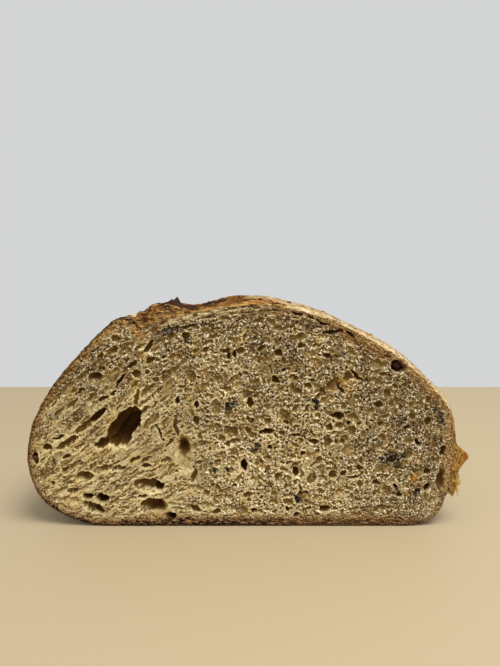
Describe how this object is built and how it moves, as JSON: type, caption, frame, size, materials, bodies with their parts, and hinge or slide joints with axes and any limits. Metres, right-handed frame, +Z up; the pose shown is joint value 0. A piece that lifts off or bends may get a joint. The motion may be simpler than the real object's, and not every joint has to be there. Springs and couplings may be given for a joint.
{
  "type": "tomato basil bread half loaf",
  "caption": "Half of a round crusty loaf, cut straight down: open speckled crumb with basil and tomato, browned floury crust, torn ear along the top and flat base.",
  "frame": {"origin": "bottom centre of the bounding box, on the flat base", "axes": "+X across the cut face to its right as seen from the front, +Y from the cut face to the round end, +Z up"},
  "size_m": [0.2228, 0.108, 0.1162],
  "materials": {
    "baked_bread": "matte baked bread: pale tan open crumb on the cut face, dry brown crust with flour elsewhere"
  },
  "bodies": {
    "root": {"half_loaf": "baked_bread"}
  },
  "joints": []
}
